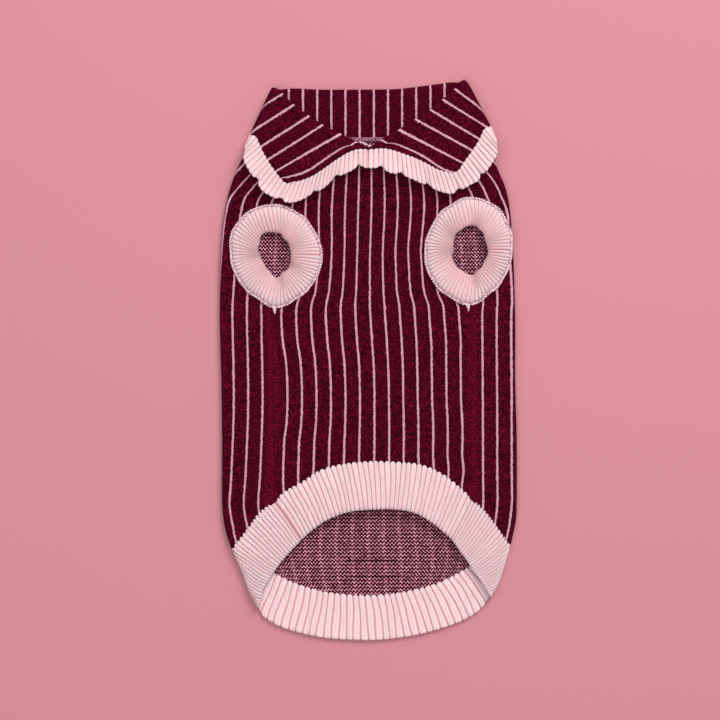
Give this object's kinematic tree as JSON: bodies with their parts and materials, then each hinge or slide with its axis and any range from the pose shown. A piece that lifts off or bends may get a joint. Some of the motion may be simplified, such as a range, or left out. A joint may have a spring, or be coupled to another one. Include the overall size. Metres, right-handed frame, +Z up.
{
  "type": "dog sweater",
  "caption": "Knitted dog sweater lying flat, belly side up, with ribbed hem and leg cuffs and a scalloped ribbed collar trim.",
  "frame": {"origin": "centre of the footprint, on the surface the sweater lies on", "axes": "+X to the right of the belly side, +Y towards the collar, +Z up from the surface"},
  "size_m": [0.194, 0.3642, 0.0128],
  "materials": {
    "jacquard_knit": "soft brushed jacquard knit, burgundy with pale pink pinstripes",
    "rib_knit": "soft 2x1 rib knit, pale pink"
  },
  "bodies": {
    "root": {"back_panel": "jacquard_knit", "belly_panel": "jacquard_knit", "hem_belly": "rib_knit", "hem_back": "rib_knit", "cuff_left": "rib_knit", "cuff_right": "rib_knit", "collar": "jacquard_knit", "collar_trim": "rib_knit"}
  },
  "joints": []
}
